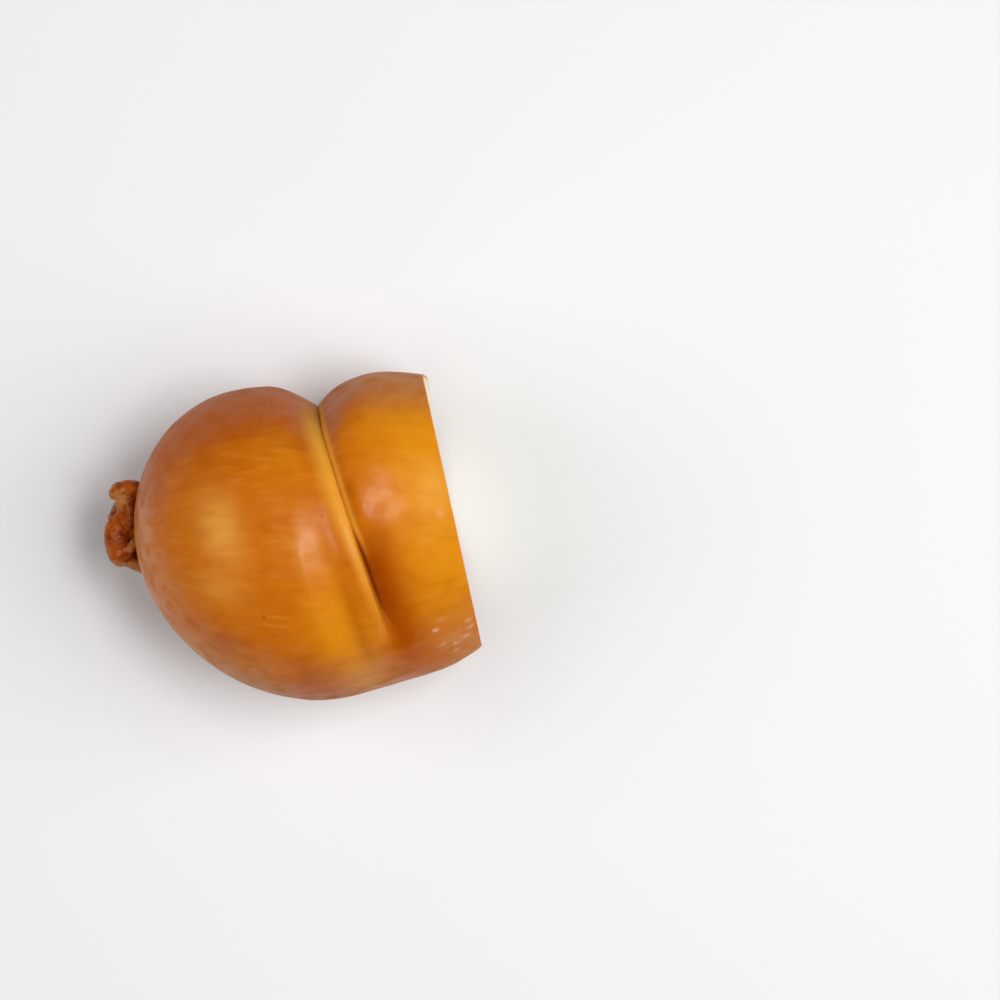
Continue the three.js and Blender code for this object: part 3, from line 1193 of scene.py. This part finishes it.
@dataclass
class Scamorza:
    """The whole cheese: the body and the knot, made one and dressed."""

    body: Body = field(default_factory=Body)
    knot: Knot = field(default_factory=Knot)
    marks: SkinMarks = field(default_factory=SkinMarks)
    rind: RindFinish = field(default_factory=RindFinish)
    knot_finish: KnotFinish = field(default_factory=KnotFinish)
    paste: PasteFinish = field(default_factory=PasteFinish)
    specks: tuple[Patch, ...] = (Patch(33.1, 116.9, 0.8, 1.0, 0.5), Patch(53.9, 83.0, 0.7, 1.0, 0.35))
    far_side: range = range(-20, 21, 4)
    seam_rounds: int = 5
    seam_softness: float = 0.5

    def build(self) -> bpy.types.Object:
        """Joins the body and the knot, places them in the frame and dresses them.

        Returns:
            The finished piece.
        """
        body = object_of("body", self.body.build())
        lump = object_of("knot", self.knot.build(self.body.centre_height(0.0)))
        for surface in Surface:
            blank = bpy.data.materials.new(surface.name)
            body.data.materials.append(blank)
            lump.data.materials.append(blank)
        union = body.modifiers.new("join", "BOOLEAN")
        union.operation = "UNION"
        union.solver = "EXACT"
        union.material_mode = "INDEX"
        union.object = lump
        joined = mesh_after_modifiers(body)
        bpy.data.objects.remove(body)
        bpy.data.objects.remove(lump)
        shape = bmesh.new()
        shape.from_mesh(joined)
        bpy.data.meshes.remove(joined)
        self._soften_seam(shape)
        self.marks.write(shape, self.body, self.knot)
        offset = self._offset()
        bmesh.ops.translate(shape, verts=shape.verts[:], vec=offset)
        piece = object_of("scamorza_cheese", shape, scale=MM)
        specks = []
        for speck in self.specks:
            spot = self.body.point(speck.along, math.radians(speck.degrees)) + offset
            specks.append((spot * MM, speck.length * MM, speck.share))
        piece.data.materials.append(self.rind.material(specks))
        piece.data.materials.append(self.knot_finish.material())
        piece.data.materials.append(self.paste.material())
        return piece

    def _offset(self) -> Vector:
        """Reads the cheese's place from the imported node's box.

        Returns:
            The way from the knot to the frame's origin, in millimetres.
        """
        low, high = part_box(NODE)
        cut = [self.body.point(self.body.cut_ring.along, math.radians(a)).x for a in range(360)]
        places = [(along, math.radians(a)) for along in self.body.skin_places() for a in self.far_side]
        head = [self.body.point(along, angle).y for along, angle in places]
        return Vector((high.x / MM - max(cut), high.y / MM - max(head), low.z / MM))

    def _soften_seam(self, shape: bmesh.types.BMesh) -> None:
        """Rounds the line where the knot leaves the bulb.

        Args:
            shape: The joined cheese.
        """
        seam = {
            vert
            for edge in shape.edges
            if len({face.material_index for face in edge.link_faces}) > 1
            and any(face.material_index == Surface.KNOT.value for face in edge.link_faces)
            for vert in edge.verts
        }
        wide = seam | {edge.other_vert(vert) for vert in seam for edge in vert.link_edges}
        for _ in range(self.seam_rounds):
            bmesh.ops.smooth_vert(
                shape, verts=list(wide), factor=self.seam_softness,
                use_axis_x=True, use_axis_y=True, use_axis_z=True,
            )


@dataclass(frozen=True)
class Lamp:
    """One soft lamp that faces the cheese: its place and sides in metres, and its power in watts."""

    name: str
    place: Triple
    breadth: float
    height: float
    power: float
    mirrored: bool
    aim: Triple = (0.0, 0.0, 0.04)

    def add(self) -> None:
        """Hangs the lamp in the scene. One that isn't mirrored leaves no highlight."""
        data = bpy.data.lights.new(self.name, "AREA")
        data.shape = "RECTANGLE"
        data.size = self.breadth
        data.size_y = self.height
        data.energy = self.power
        lamp = bpy.data.objects.new(self.name, data)
        lamp.location = self.place
        towards = Vector(self.aim) - Vector(self.place)
        lamp.rotation_euler = towards.to_track_quat("-Z", "Y").to_euler()
        lamp.visible_glossy = self.mirrored
        bpy.context.scene.collection.objects.link(lamp)


@dataclass
class Stage:
    """The plain floor, the soft light and the camera above the cheese."""

    floor_size: float = 6.0
    camera_place: Triple = (0.0559, 0.0096, 0.9)
    lens: float = 114.5
    sensor: float = 36.0
    lamps: tuple[Lamp, ...] = (
        Lamp("key", (0.32, 0.05, 1.08), 0.45, 0.25, 5.2, True),
        Lamp("right", (0.9, 0.0, 1.07), 1.2, 1.2, 12.4, False),
        Lamp("left", (-0.9, 0.0, 1.07), 1.2, 1.2, 9.8, False),
    )
    sky: float = 0.02

    def build(self) -> None:
        """Makes the floor, the lights and the camera."""
        plane = bmesh.new()
        bmesh.ops.create_grid(plane, x_segments=1, y_segments=1, size=self.floor_size / 2)
        floor = object_of("floor", plane)
        floor.data.materials.append(FloorFinish().material())
        for lamp in self.lamps:
            lamp.add()
        self._add_sky()
        self._add_camera()

    def _add_sky(self) -> None:
        """Surrounds the scene with an even white light."""
        world = bpy.data.worlds.new("studio")
        world.use_nodes = True
        background = world.node_tree.nodes["Background"]
        background.inputs["Color"].default_value = (1.0, 1.0, 1.0, 1.0)
        background.inputs["Strength"].default_value = self.sky
        bpy.context.scene.world = world

    def _add_camera(self) -> None:
        """Hangs the camera straight above, with the far side up."""
        data = bpy.data.cameras.new("camera")
        data.lens = self.lens
        data.sensor_width = self.sensor
        camera = bpy.data.objects.new("camera", data)
        camera.location = self.camera_place
        bpy.context.scene.collection.objects.link(camera)
        bpy.context.scene.camera = camera
        bpy.context.scene.view_settings.view_transform = "Standard"


def main() -> None:
    """Builds the cheese on its stage."""
    logging.basicConfig(level=logging.INFO, format="%(name)s: %(message)s")
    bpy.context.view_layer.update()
    cheese = Scamorza().build()
    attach(cheese, "root")
    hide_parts(NODE)
    LOG.info("%s has %d faces", cheese.name, len(cheese.data.polygons))
    Stage().build()


if __name__ == "__main__":
    main()
